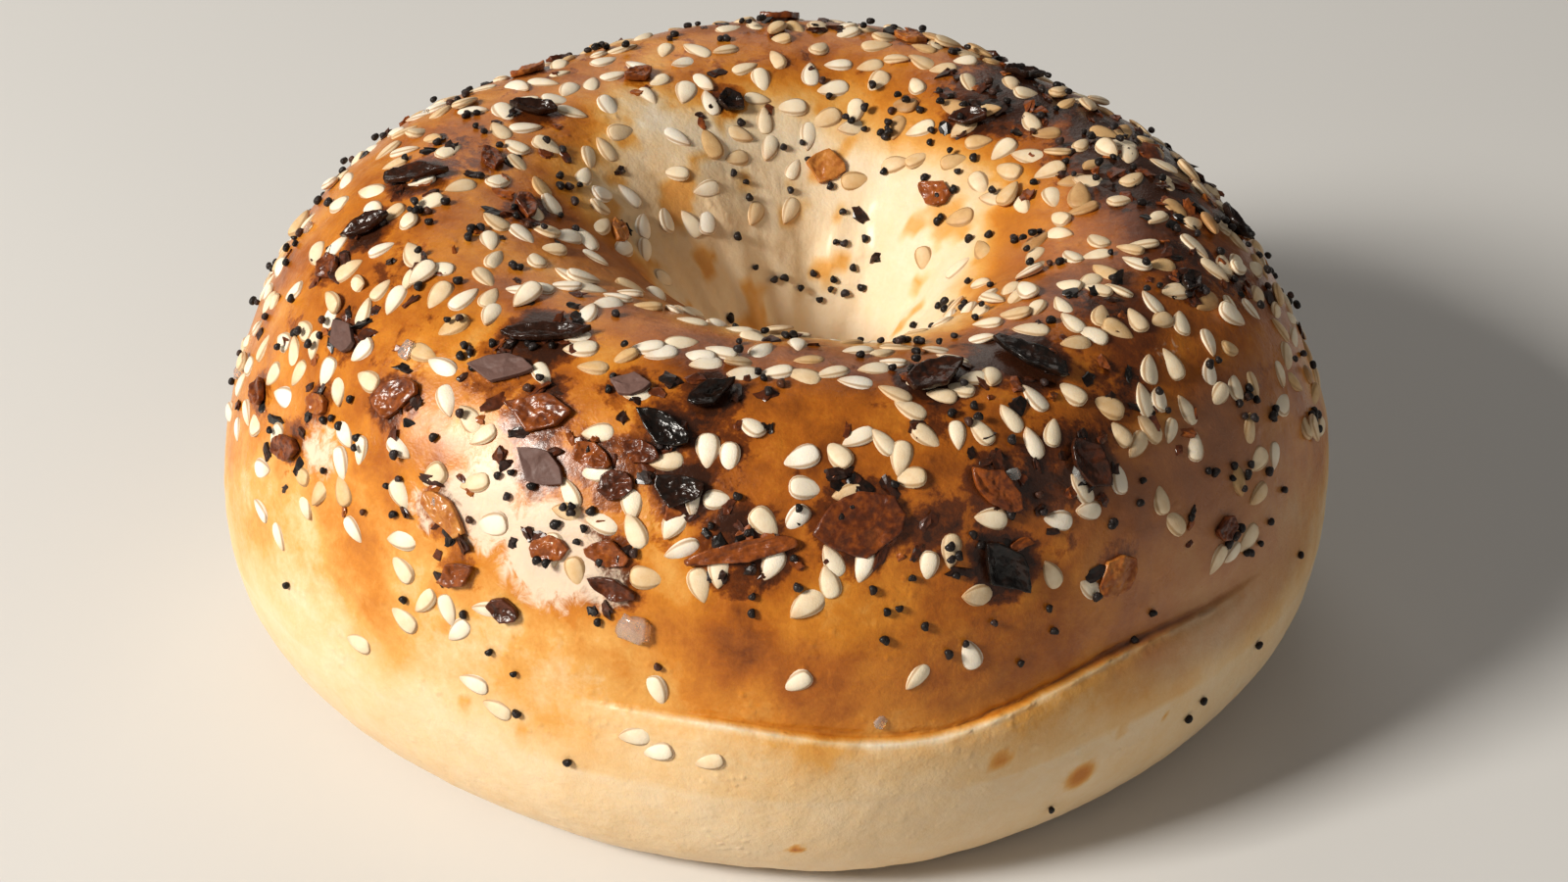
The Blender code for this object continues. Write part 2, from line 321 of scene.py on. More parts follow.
def section_angles():
    """Section angles of the rows, closest together at the seam and furthest apart below."""
    fine = np.linspace(0, 360, 3601)
    weight = 1 + 3.0 * hill(fine, SEAM_SECTION, 8) - 0.3 * hill(fine, 265, 90)
    running = np.concatenate([[0], np.cumsum((weight[1:] + weight[:-1]) / 2)])
    return np.interp(np.arange(ROWS) / ROWS * running[-1], running, fine)


def seam_section(azimuth):
    """The section angle that the seam runs along at each azimuth."""
    return SEAM_SECTION + waves(azimuth, SEAM_WAVES)


def seam_strength(azimuth):
    """1 along most of the seam, fading to 0 at both its ends."""
    away = np.abs((azimuth - SEAM_MIDDLE + 180) % 360 - 180)
    return rising(SEAM_HALF_LENGTH - away, 0, SEAM_FADE)


class Crust:
    """The bread's skin: a grid of points with a column for each azimuth and a row for each section angle."""

    def __init__(self, bread):
        self.azimuths = np.arange(AZIMUTHS) * 360 / AZIMUTHS
        self.rows = section_angles()
        self.azimuth = np.repeat(self.azimuths[:, None], ROWS, 1)
        follow = hill(self.rows, SEAM_SECTION, 25)[None, :]
        self.section = self.rows[None, :] + follow * waves(self.azimuth, SEAM_WAVES)
        self.points = self.cast(bread)
        self.points = self.points + normals_of(self.points) * self.relief()[..., None]
        self.points[..., 2] = np.maximum(self.points[..., 2], 0.0)
        self.normals = normals_of(self.points)
        self.area = np.linalg.norm(crossed(self.points), axis=-1) / 4

    def cast(self, bread):
        """Points where rays from the ring's core meet the CAD bread, with its facets blurred away."""
        corners = [vertex.co / MM for vertex in bread.data.vertices]
        tree = BVHTree.FromPolygons(corners, [face.vertices for face in bread.data.polygons])
        angle = np.radians(self.azimuths)
        outward = np.stack([np.cos(angle), np.sin(angle)], 1)

        def probe(radius, column, run, rise):
            start = (*(AXIS + radius * outward[column]), WAIST_HEIGHT)
            aim = (*(run * outward[column]), rise)
            return tree.ray_cast(start, aim)[3]

        rim = np.array([CORE_START + probe(CORE_START, i, 1.0, 0.0) for i in range(AZIMUTHS)])
        rim = blurred(rim[:, None], FACET_BLUR)[:, 0]
        core = HOLE_RADIUS + CREST_SHARE * (rim - HOLE_RADIUS)
        turn = np.radians(self.section)
        across = np.where(np.cos(turn) > 0, (rim - core)[:, None], (core - HOLE_RADIUS)[:, None])
        run = across * np.cos(turn)
        rise = np.where(np.sin(turn) > 0, TOP_REACH, FOOT_REACH) * np.sin(turn)
        size = np.hypot(run, rise)
        run, rise = run / size, rise / size
        reach = np.array([
            [probe(core[i], i, run[i, j], rise[i, j]) for j in range(ROWS)] for i in range(AZIMUTHS)
        ])
        reach = blurred(reach, FACET_BLUR)
        radius = core[:, None] + reach * run
        flat = AXIS + radius[..., None] * outward[:, None, :]
        height = np.maximum(WAIST_HEIGHT + reach * rise, 0.0)
        return np.concatenate([flat, height[..., None]], -1)

    def relief(self):
        """How far each point stands out from the plain risen shape."""
        points, section = self.points, self.section
        base = between(section, 235, 250, 290, 305)
        swells = 0.28 * mottle(points, 15, 1) + 0.12 * mottle(points, 5.5, 2, 2)
        swells += 0.05 * mottle(points, 2.0, 3, 2)
        relief = (1 - base) * swells
        relief += base * 0.16 * np.maximum(mottle(points, 4.0, 4, 3), 0)
        relief += self.creases()
        grain = between(section, 108, 135, 180, 215)
        relief += grain * 0.14 * np.maximum(mottle(points, 1.8, 9, 2), 0)
        return relief + self.torn_seam()

    def torn_seam(self):
        """The step at the seam, with the band's ragged lip below it and the groove above."""
        points = self.points
        above = self.section - seam_section(self.azimuth)
        ragged = 0.4 * mottle(points, 3.0, 6, 2) + 0.35 * mottle(points, 1.1, 61)
        step = SEAM_STEP * np.tanh((above + ragged) / 0.30) * rising(-np.abs(above), -16, 0)
        lip = np.exp(-(((above + ragged + 0.35) / SEAM_EDGE) ** 2))
        lip = lip * rising(mottle(points, 1.6, 7), -0.35, 0.2)
        groove = np.exp(-(((above + ragged - 0.6) / SEAM_EDGE) ** 2))
        return seam_strength(self.azimuth) * (SEAM_LIP * lip - SEAM_GROOVE * groove - step)

    def creases(self):
        """Folds that run down the hole's wall, as where dough was pinched into a ring."""
        radius = np.linalg.norm(self.points[..., :2] - AXIS, axis=-1)
        inside = between(self.section, 112, 150, 200, 235)
        total = 0.45 * mottle(self.points * np.array([1, 1, 0.75]), 4.5, 8, 2)
        for azimuth, width, depth, lean in HOLE_CREASES:
            line = azimuth + lean * (self.section - 160) + 12 * mottle(self.points, 7, azimuth)
            away = np.radians((self.azimuth - line + 180) % 360 - 180) * radius
            total = total - depth * np.exp(-((away / width) ** 2))
            total = total + 0.4 * depth * np.exp(-((away / (2.6 * width)) ** 2))
        return total * inside

    def cell(self, azimuth, section):
        """Fractional column and row of a place."""
        column = (azimuth % 360) / 360 * AZIMUTHS
        row = np.interp(section % 360, np.append(self.rows, 360.0), np.arange(ROWS + 1))
        return column, row

    def sample(self, grid, azimuth, section):
        """A grid's value at a place, mixed from the four nearest points."""
        column, row = self.cell(azimuth, section)
        i, j = int(column), int(row)
        u, v = column - i, row - j
        i, j, i1, j1 = i % AZIMUTHS, j % ROWS, (i + 1) % AZIMUTHS, (j + 1) % ROWS
        near = grid[i, j] * (1 - u) + grid[i1, j] * u
        far = grid[i, j1] * (1 - u) + grid[i1, j1] * u
        return near * (1 - v) + far * v

    def place(self, azimuth, section):
        """A place's point, outward normal and unit vector along the azimuth."""
        point = self.sample(self.points, azimuth, section)
        normal = self.sample(self.normals, azimuth, section)
        normal = normal / np.linalg.norm(normal)
        ahead = self.sample(self.points, azimuth + 0.7, section) - point
        ahead = ahead - normal * (ahead @ normal)
        return point, normal, ahead / np.linalg.norm(ahead)

    def step(self, azimuth, section, east, north):
        """The place this far along the azimuth and up the section, for short steps."""
        point = self.sample(self.points, azimuth, section)
        by_azimuth = np.linalg.norm(self.sample(self.points, azimuth + 1, section) - point)
        by_section = np.linalg.norm(self.sample(self.points, azimuth, section + 2) - point) / 2
        return azimuth + east / by_azimuth, section + north / by_section

    def scatter(self, density, draw):
        """Endless random places, with a chance in proportion to the density."""
        running = np.cumsum(density * self.area)
        while True:
            index = int(np.searchsorted(running, draw.random() * running[-1]))
            i, j = divmod(index, ROWS)
            azimuth = (i + draw.uniform(-0.5, 0.5)) * 360 / AZIMUTHS
            yield azimuth, self.section[i, j] + draw.uniform(-0.8, 0.8)


def topped(azimuth, section):
    """How thickly the toppings lie, from 0 to 1."""
    edge = 29 + 7 * hill(azimuth, 272, 55) - 6 * hill(azimuth, 195, 45) - 3 * hill(azimuth, 335, 40)
    side = rising(section, edge - 9, edge + 11)
    hole = 1 - rising(section, 112, 142)
    cover = 0.62 + 0.38 * hill(azimuth, 15, 85) * hill(section, 75, 60) + 0.15 * hill(azimuth, 200, 60)
    return side * hole * cover * (section < 200)


def poppy_cover(azimuth, section):
    """How thickly the poppy seeds lie, which also reach some way down into the hole."""
    edge = 24 + 4 * hill(azimuth, 255, 50) - 4 * hill(azimuth, 335, 60)
    side = rising(section, edge - 8, edge + 14)
    hole = 1 - 0.75 * rising(section, 112, 138) - 0.25 * rising(section, 150, 175)
    return side * hole * (0.6 + 0.4 * hill(azimuth, 20, 100)) * (section < 200)


def grid_mesh(name, points, values):
    """A closed mesh from a grid that wraps both ways, with a UV map and one number a point for each value."""
    columns, rows = points.shape[:2]
    i, j = np.meshgrid(np.arange(columns), np.arange(rows), indexing="ij")
    corners = ((i, j), (i + 1, j), (i + 1, j + 1), (i, j + 1))
    faces = np.stack([(a % columns) * rows + b % rows for a, b in corners], -1).reshape(-1, 4)
    mesh = bpy.data.meshes.new(name)
    mesh.from_pydata((points.reshape(-1, 3) * MM).tolist(), [], faces.tolist())
    layer = mesh.uv_layers.new(name="OFBake")
    uv = np.stack([np.stack([a / columns, b / rows], -1) for a, b in corners], -2)
    layer.data.foreach_set("uv", uv.astype(np.float32).ravel())
    for key, grid in values.items():
        set_values(mesh, key, grid.ravel())
    mesh.shade_smooth()
    return mesh


def set_values(mesh, key, numbers):
    """Gives a mesh one number a point under this name, for its material to read."""
    layer = mesh.attributes.new(key, "FLOAT", "POINT")
    layer.data.foreach_set("value", np.asarray(numbers, np.float32))


def show(name, mesh, finish):
    """A new object with this mesh and material, in the scene."""
    mesh.materials.clear()
    mesh.materials.append(finish)
    made = bpy.data.objects.new(name, mesh)
    bpy.context.scene.collection.objects.link(made)
    return made


class Graph:
    """A material whose nodes are made in a few words each."""

    def __init__(self, name):
        self.material = bpy.data.materials.new(name)
        self.material.use_nodes = True
        self.tree = self.material.node_tree
        self.shader = self.tree.nodes["Principled BSDF"]
        self.where = self.node("ShaderNodeTexCoord").outputs["Object"]

    def node(self, kind, **settings):
        made = self.tree.nodes.new(kind)
        for key, value in settings.items():
            setattr(made, key, value)
        return made

    def feed(self, socket, value):
        if isinstance(value, bpy.types.NodeSocket):
            self.tree.links.new(value, socket)
        else:
            socket.default_value = value

    def set(self, **values):
        """Sets or links the shader's own sockets."""
        for key, value in values.items():
            self.feed(self.shader.inputs[key.replace("_", " ")], value)

    def value(self, name):
        """The number that set_values gave each point of the mesh."""
        return self.node("ShaderNodeAttribute", attribute_name=name).outputs["Fac"]

    def noise(self, size, detail=2.0, roughness=0.5, distortion=0.0):
        made = self.node("ShaderNodeTexNoise")
        self.feed(made.inputs["Vector"], self.where)
        made.inputs["Scale"].default_value = 1 / (size * MM)
        made.inputs["Detail"].default_value = detail
        made.inputs["Roughness"].default_value = roughness
        made.inputs["Distortion"].default_value = distortion
        return made.outputs["Fac"]

    def cells(self, size, feature="F1"):
        made = self.node("ShaderNodeTexVoronoi", feature=feature)
        self.feed(made.inputs["Vector"], self.where)
        made.inputs["Scale"].default_value = 1 / (size * MM)
        return made.outputs["Distance"]

    def math(self, operation, first, second, third=None):
        """The output of a Math node with this operation."""
        made = self.node("ShaderNodeMath", operation=operation)
        for socket, value in zip(made.inputs, (first, second, third)):
            if value is not None:
                self.feed(socket, value)
        return made.outputs[0]

    def about(self, value, size, middle=0.5):
        """(value - middle) * size, so that noise swings to both sides of nothing."""
        return self.math("MULTIPLY", self.math("SUBTRACT", value, middle), size)

    def fit(self, value, low, high, to_low=0.0, to_high=1.0):
        """The value moved smoothly from between low and high to between to_low and to_high."""
        made = self.node("ShaderNodeMapRange", interpolation_type="SMOOTHSTEP")
        for socket, number in zip(made.inputs, (value, low, high, to_low, to_high)):
            self.feed(socket, number)
        return made.outputs[0]

    def ramp(self, value, stops):
        made = self.node("ShaderNodeValToRGB")
        elements = made.color_ramp.elements
        for number, (position, colour) in enumerate(stops):
            stop = elements[number] if number < 2 else elements.new(position)
            stop.position = position
            stop.color = (*colour, 1.0)
        self.feed(made.inputs[0], value)
        return made.outputs[0]

    def mix(self, first, second, share):
        made = self.node("ShaderNodeMix", data_type="RGBA")
        self.feed(made.inputs["Factor"], share)
        self.feed(made.inputs[6], first if isinstance(first, bpy.types.NodeSocket) else (*first, 1.0))
        self.feed(made.inputs[7], second if isinstance(second, bpy.types.NodeSocket) else (*second, 1.0))
        return made.outputs[2]

    def bump(self, height, depth, below=None):
        """A normal from a height between 0 and 1 that stands for this depth."""
        made = self.node("ShaderNodeBump")
        made.inputs["Strength"].default_value = 1.0
        made.inputs["Distance"].default_value = depth * MM
        self.feed(made.inputs["Height"], height)
        if below is not None:
            self.feed(made.inputs["Normal"], below)
        return made.outputs["Normal"]


# The crust's colours by how far it is baked, from raw cream dough to burnt.
TONES = (
    (0.00, (0.88, 0.79, 0.66)),
    (0.10, (0.81, 0.64, 0.43)),
    (0.19, (0.77, 0.52, 0.26)),
    (0.31, (0.70, 0.345, 0.080)),
    (0.45, (0.58, 0.205, 0.020)),
    (0.61, (0.38, 0.105, 0.009)),
    (0.80, (0.14, 0.032, 0.005)),
    (1.00, (0.035, 0.011, 0.005)),
)


def crust_material():
    """Baked dough under a thin glaze: the tone runs from cream dough to dark brown."""
    graph = Graph("baked_crust")
    tone = graph.value("tone")
    glaze = graph.value("glaze")
    unevenness = graph.math("MULTIPLY_ADD", glaze, 0.72, 0.28)
    for size, swing in ((8.0, 0.32), (2.6, 0.26), (0.8, 0.14), (0.28, 0.07)):
        swung = graph.math("MULTIPLY", graph.about(graph.noise(size, 3, 0.6, 0.4), swing), unevenness)
        tone = graph.math("ADD", tone, swung)
    scorched = graph.math("ADD", graph.value("scorch"), graph.about(graph.noise(3.4, 4, 0.65, 0.7), 0.9))
    scorched = graph.math("ADD", scorched, graph.about(graph.noise(0.9, 3, 0.7), 0.5))
    tone = graph.math("ADD", tone, graph.fit(scorched, 0.28, 0.50, 0.0, 0.24))
    tone = graph.math("ADD", tone, graph.fit(scorched, 0.50, 0.74, 0.0, 0.22))
    # Pale patches: partly dry glaze, partly a painted highlight in cream where the lamp's sheen falls.
    pale = graph.math("ADD", graph.value("pale"), graph.about(graph.noise(1.7, 4, 0.7, 0.8), 1.1))
    pale = graph.fit(pale, 0.45, 0.80, 0.0, 0.85)
    colour = graph.ramp(tone, TONES)
    # Painted shade: a mauve-brown laid over the near side's shaded right and the hole's shaded left wall.
    painted_shade = graph.math("ADD", graph.value("painted_shade"), graph.about(graph.noise(3.0, 3, 0.6), 0.4))
    colour = graph.mix(colour, (0.36, 0.185, 0.115), graph.fit(painted_shade, 0.2, 1.0, 0.0, 0.6))
    colour = graph.mix(colour, (0.84, 0.66, 0.50), pale)
    patches = graph.noise(3.2, 4, 0.65)
    dull = graph.math("SUBTRACT", 0.62, graph.math("MULTIPLY", glaze, 0.28))
    roughness = graph.math("ADD", dull, graph.about(patches, 0.34))
    roughness = graph.math("ADD", roughness, graph.about(graph.noise(0.4, 2), 0.18))
    roughness = graph.math("ADD", roughness, graph.math("MULTIPLY", pale, 0.15))
    roughness = graph.math("ADD", roughness, graph.fit(scorched, 0.28, 0.60, 0.0, -0.14))
    blister = graph.fit(graph.cells(1.15, "SMOOTH_F1"), 0.0, 0.42, 1.0, 0.0)
    blister = graph.math("MULTIPLY", blister, graph.fit(graph.noise(5.0, 2), 0.50, 0.66))
    normal = graph.bump(graph.noise(1.6, 3, 0.5, 0.2), 0.13)
    normal = graph.bump(blister, 0.08, normal)
    normal = graph.bump(graph.noise(0.32, 3, 0.6), 0.045, normal)
    graph.set(Base_Color=colour, Roughness=roughness, Normal=normal, Specular_IOR_Level=0.2)
    graph.set(Coat_Weight=0.22, Coat_Roughness=0.24, Subsurface_Weight=0.10, Subsurface_Scale=0.0018)
    graph.set(Subsurface_Radius=(1.0, 0.4, 0.15))
    return graph.material


def sesame_material():
    """Hulled seed, ivory to toasted tan, browner at its tip, with a fine darker line just inside its edge."""
    graph = Graph("sesame_hull")
    toast = graph.math("ADD", graph.value("tint"), graph.about(graph.noise(0.9, 3, 0.6), 0.30))
    colour = graph.ramp(
        toast,
        (
            (0.0, (0.92, 0.84, 0.72)),
            (0.35, (0.85, 0.71, 0.51)),
            (0.7, (0.66, 0.42, 0.19)),
            (1.0, (0.36, 0.16, 0.05)),
        ),
    )
    tip = graph.fit(graph.value("tip"), 0.55, 1.0, 0.0, 0.5)
    colour = graph.mix(colour, (0.46, 0.24, 0.09), tip)
    edge = graph.value("edge")
    line = graph.math("MULTIPLY", graph.fit(edge, 0.62, 0.80), graph.fit(edge, 0.86, 0.97, 0.75, 0.10))
    colour = graph.mix(colour, (0.36, 0.19, 0.07), line)
    grain = graph.noise(0.16, 2, 0.6)
    normal = graph.bump(grain, 0.035)
    roughness = graph.math("ADD", 0.48, graph.about(graph.noise(0.7, 2), 0.20))
    graph.set(Base_Color=colour, Roughness=roughness, Normal=normal, Specular_IOR_Level=0.3)
    graph.set(Subsurface_Weight=0.15, Subsurface_Scale=0.0008, Subsurface_Radius=(1.0, 0.7, 0.4))
    return graph.material


def poppy_material():
    """Blue-black to brown seed coat with small pits."""
    graph = Graph("poppy_seed_coat")
    colour = graph.ramp(
        graph.math("ADD", graph.value("tint"), graph.about(graph.noise(0.35, 2), 0.25)),
        (
            (0.0, (0.007, 0.006, 0.006)),
            (0.5, (0.020, 0.014, 0.012)),
            (0.75, (0.030, 0.024, 0.024)),
            (1.0, (0.10, 0.034, 0.014)),
        ),
    )
    pits = graph.fit(graph.cells(0.22), 0.0, 0.6)
    roughness = graph.math("ADD", 0.42, graph.about(graph.noise(0.5, 2), 0.25))
    graph.set(Base_Color=colour, Roughness=roughness, Normal=graph.bump(pits, 0.05), Specular_IOR_Level=0.14)
    graph.set(Coat_Weight=0.10, Coat_Roughness=0.18)
    return graph.material


# Dried onion and garlic by how far they are toasted, and the matt mauve skin of some onion flakes.
ALLIUM = (
    (0.00, (0.70, 0.44, 0.17)),
    (0.22, (0.52, 0.20, 0.040)),
    (0.42, (0.28, 0.068, 0.010)),
    (0.62, (0.100, 0.022, 0.006)),
    (0.80, (0.030, 0.010, 0.005)),
    (1.00, (0.006, 0.004, 0.003)),
)
MAUVE = (
    (0.00, (0.40, 0.24, 0.16)),
    (0.45, (0.155, 0.085, 0.070)),
    (1.00, (0.040, 0.022, 0.020)),
)


def allium_material(name, tones=ALLIUM, swing=0.3, shine=0.38, coat=0.3):
    """Dried onion or garlic, from pale gold through red-brown to black, with fine ribs and a glassy skin."""
    graph = Graph(name)
    tone = graph.math("ADD", graph.about(graph.noise(1.6, 4, 0.65, 0.5), swing * 2), graph.value("tint"))
    tone = graph.math("ADD", tone, graph.about(graph.noise(0.5, 2), swing))
    roughness = graph.math("ADD", shine, graph.about(graph.noise(0.8, 3), 0.35))
    ribs = graph.noise(0.9, 4, 0.6, 0.8)
    graph.set(Base_Color=graph.ramp(tone, tones), Roughness=roughness, Normal=graph.bump(ribs, 0.08))
    graph.set(Specular_IOR_Level=0.16, Coat_Weight=coat, Coat_Roughness=0.16)
    return graph.material


def salt_material():
    """Clear salt with a cloudy surface."""
    graph = Graph("salt_crystal")
    cloud = graph.fit(graph.noise(0.7, 3), 0.40, 0.72, 0.04, 0.30)
    normal = graph.bump(graph.noise(0.5, 2), 0.05)
    graph.set(Base_Color=(0.97, 0.95, 0.90, 1.0), Roughness=cloud, Normal=normal)
    graph.set(Transmission_Weight=0.82, IOR=1.45)
    return graph.material


def floor_material():
    """Pale paper, very slightly uneven."""
    graph = Graph("pale_paper")
    colour = graph.ramp(graph.noise(180, 2), ((0.3, (0.66, 0.655, 0.645)), (0.7, (0.70, 0.695, 0.685))))
    graph.set(Base_Color=colour, Roughness=0.85)
    return graph.material


class Batch:
    """Many small bodies gathered into one mesh."""

    def __init__(self, keys):
        self.points, self.faces, self.values, self.count = [], [], {key: [] for key in keys}, 0

    def add(self, points, faces, **values):
        self.points.append(points)
        self.faces.append(faces + self.count)
        self.count += len(points)
        for key, numbers in values.items():
            self.values[key].append(np.broadcast_to(numbers, len(points)))

    def mesh(self, name, smooth_faces=True):
        made = bpy.data.meshes.new(name)
        points = np.concatenate(self.points) * MM
        made.from_pydata(points.tolist(), [], np.concatenate(self.faces).tolist())
        for key, numbers in self.values.items():
            set_values(made, key, np.concatenate(numbers))
        if smooth_faces:
            made.shade_smooth()
        return made


def seed_shape(stations=9, segments=16):
    """A flat drop one unit long and one wide, its tip at -x: points, triangles, edge and tip shares."""
    share = (1 - np.cos(np.pi * np.arange(1, stations + 1) / (stations + 1))) / 2
    half = share**0.80 * (1 - share) ** 0.42
    half = half / half.max() / 2
    turn = 2 * np.pi * np.arange(segments) / segments
    y = half[:, None] * np.cos(turn)
    lens = np.sign(np.sin(turn)) * np.abs(np.sin(turn)) ** 1.1
    z = (half[:, None] * 2) ** 0.7 * lens / 2
    x = np.repeat(share[:, None] - 0.5, segments, 1)
    points = np.stack([x, y, z], -1).reshape(-1, 3)
    points = np.concatenate([points, [[-0.5, 0, 0], [0.5, 0, 0]]])
    ring = np.arange(segments)
    ahead = (ring + 1) % segments
    faces = []
    for k in range(stations - 1):
        low, high = k * segments, (k + 1) * segments
        faces.append(np.stack([low + ring, low + ahead, high + ahead], -1))
        faces.append(np.stack([low + ring, high + ahead, high + ring], -1))
    last = (stations - 1) * segments
    faces.append(np.stack([ahead, ring, np.full(segments, stations * segments)], -1))
    faces.append(np.stack([last + ring, last + ahead, np.full(segments, stations * segments + 1)], -1))
    ends = rising(np.abs(2 * share - 1), 0.80, 1.0)
    edge = np.maximum(np.abs(np.cos(turn))[None, :], ends[:, None])
    edge = np.append(edge.ravel(), [1.0, 1.0])
    tip = np.append(np.repeat(1 - share, segments), [1.0, 0.0])
    return points, np.concatenate(faces)[:, ::-1], edge, tip


def ball_shape(subdivisions):
    """Points and triangles of a ball one unit across."""
    ball = bmesh.new()
    bmesh.ops.create_icosphere(ball, subdivisions=subdivisions, radius=0.5)
    points = np.array([vertex.co for vertex in ball.verts])
    faces = np.array([[vertex.index for vertex in face.verts] for face in ball.faces])
    ball.free()
    return points, faces


def turned(points, place, heading, sink, pitch=0.0, roll=0.0):
    """Points of a small body set down at a place, turned to a heading, tipped, and sunk into the crust."""
    point, normal, along = place
    side = np.cross(normal, along)
    angle = math.radians(heading)
    ahead = along * math.cos(angle) + side * math.sin(angle)
    ahead = ahead * math.cos(math.radians(pitch)) + normal * math.sin(math.radians(pitch))
    side = np.cross(normal, ahead)
    side = side / np.linalg.norm(side)
    up = np.cross(ahead, side)
    tilt = math.radians(roll)
    left = side * math.cos(tilt) + up * math.sin(tilt)
    top = np.cross(ahead, left)
    return point - normal * sink + points @ np.array([ahead, left, top])


def flake_places():
    """Where the CAD flakes lie: each one's middle, and how far it reaches."""
    found = {}
    for name in frame["nodes"]:
        if name != "bread":
            low, high = (np.array(corner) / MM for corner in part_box(name))
            found[name] = ((low + high) / 2, np.linalg.norm(high - low) / 2)
    return found


def make_sesame(crust, flakes):
    """The mesh of all sesame seeds, and where each of them lies."""
    draw = random.Random(DRAWS["sesame"])
    points, faces, edge, tip = seed_shape()
    batch = Batch(("tint", "edge", "tip"))
    taken = np.zeros((0, 3))
    middles = np.array([middle for middle, reach in flakes.values()])
    reaches = np.array([reach for middle, reach in flakes.values()])
    listed = rising(-np.abs(crust.azimuth - 272), -66, -48) * rising(-crust.section, -96, -86)
    places = crust.scatter(topped(crust.azimuth, crust.section) * (1 - 0.85 * listed), draw)

    def add(azimuth, section, heading, lift):
        place = crust.place(azimuth, section)
        length = draw.gauss(SESAME_LENGTH, SESAME_LENGTH_SPREAD)
        size = np.array([length, length * draw.uniform(0.60, 0.70), draw.uniform(0.80, 1.0)])
        tint = draw.triangular(0.0, 0.80, 0.15) + 0.26 * float(hill(azimuth, 30, 110))
        sink = SESAME_SINK - lift
        body = turned(points * size, place, heading, sink, draw.gauss(0, 7), draw.gauss(0, 11))
        batch.add(body, faces, tint=tint, edge=edge, tip=tip)
        return place[0]

    for azimuth, section, heading in SEEDS_BY_HAND:
        taken = np.vstack([taken, add(azimuth, section, heading + 270 - azimuth, 0.0)])
    tries = 0
    while len(taken) < SESAME_COUNT and tries < SESAME_TRIES:
        tries += 1
        azimuth, section = next(places)
        spot = crust.sample(crust.points, azimuth, section)
        gap = np.linalg.norm(taken - spot, axis=1).min()
        clear = np.linalg.norm(middles - spot, axis=1) - reaches * 0.8
        if clear.min() < FLAKE_GAP or gap < LEAST_GAP or (gap < EASY_GAP and draw.random() > 0.10):
            continue
        lift = SESAME_LIFT if gap < TOUCHING_GAP else 0.0
        taken = np.vstack([taken, add(azimuth, section, draw.uniform(0, 360), lift)])
    return batch.mesh("sesame_seeds"), taken


def make_poppy(crust, taken):
    """Poppy seeds, mostly in small clusters."""
    draw = random.Random(DRAWS["poppy"])
    points, faces = ball_shape(2)
    batch = Batch(("tint",))
    places = crust.scatter(poppy_cover(crust.azimuth, crust.section), draw)
    spots = list(POPPY_BY_HAND)
    while len(spots) < POPPY_COUNT:
        azimuth, section = next(places)
        for _ in range(draw.choice(POPPY_CLUSTERS)):
            east = draw.gauss(0, POPPY_CLUSTER_SPREAD)
            north = draw.gauss(0, POPPY_CLUSTER_SPREAD)
            spots.append(crust.step(azimuth, section, east, north))
    for azimuth, section in spots:
        place = crust.place(azimuth, section)
        on_seed = np.linalg.norm(taken - place[0], axis=1).min() < 1.1
        size = POPPY_SIZE * draw.uniform(0.70, 1.04)
        kidney = np.sign(points) * np.abs(points * 2) ** 0.85 / 2
        kidney[:, 1] += 0.22 * np.cos(kidney[:, 0] * math.pi) - 0.16
        sink = -POPPY_RISE - (POPPY_RISE_ON_SEED if on_seed else 0.0)
        body = turned(kidney * size, place, draw.uniform(0, 360), sink, draw.gauss(0, 12))
        batch.add(body, faces, tint=draw.triangular(0.0, 1.0, 0.35))
    return batch.mesh("poppy_seeds")


def make_crumbs(crust, flakes):
    """Bits of onion and garlic too small for nodes of their own, thickest near the big flakes."""
    draw = random.Random(DRAWS["crumbs"])
    points, faces = ball_shape(2)
    batch = Batch(("tint",))
    dark = patches(crust.points, crust, STAINS)
    for middle, reach in flakes.values():
        away = np.linalg.norm(crust.points - middle, axis=-1)
        dark = np.maximum(dark, 0.8 * (1 - rising(away - reach * 0.6, 0.0, 4.0)))
    density = topped(crust.azimuth, crust.section) * (0.06 + dark)
    places = crust.scatter(density, draw)
    for number in range(CRUMB_COUNT):
        place = crust.place(*next(places))
        shift = Vector((number, 0, 0))
        rough = [1 + 0.9 * noise.noise(Vector(point) * 2.6 + shift) for point in points]
        blocky = np.sign(points) * np.abs(points * 2) ** 0.7 / 2 * np.array(rough)[:, None]
        scale = draw.triangular(0.5, 1.6, 0.7)
        size = np.array([draw.uniform(1.1, 2.1), draw.uniform(0.7, 1.3), draw.uniform(0.28, 0.55)]) * scale
        tint = draw.choice(CRUMB_TINTS) + draw.uniform(-0.07, 0.07)
        body = turned(blocky * size, place, draw.uniform(0, 360), -0.02, draw.gauss(0, 12), draw.gauss(0, 12))
        batch.add(body, faces, tint=tint)
    return batch.mesh("allium_crumbs", smooth_faces=False)


def make_salt(crust):
    """Coarse salt, and the two clear grains low on the near side."""
    draw = random.Random(DRAWS["salt"])
    points, faces = ball_shape(3)
    batch = Batch(())
    density = topped(crust.azimuth, crust.section - 6) * hill(crust.section, 40, 50)
    places = crust.scatter(density, draw)
    spots = list(LONE_SALT)
    spots += [(*next(places), draw.uniform(1.1, 1.9)) for _ in range(SALT_COUNT)]
    for number, (azimuth, section, length) in enumerate(spots):
        shift = Vector((0, number, 0))
        rough = [1 + 0.25 * noise.noise(Vector(point) * 4.0 + shift) for point in points]
        blocky = np.sign(points) * np.abs(points * 2) ** 0.6 / 2 * np.array(rough)[:, None]
        place = crust.place(azimuth, section)
        body = turned(blocky * SALT_SIZE * length, place, draw.uniform(0, 360), -0.05, draw.gauss(0, 12))
        batch.add(body, faces)
    return batch.mesh("salt_crystals")


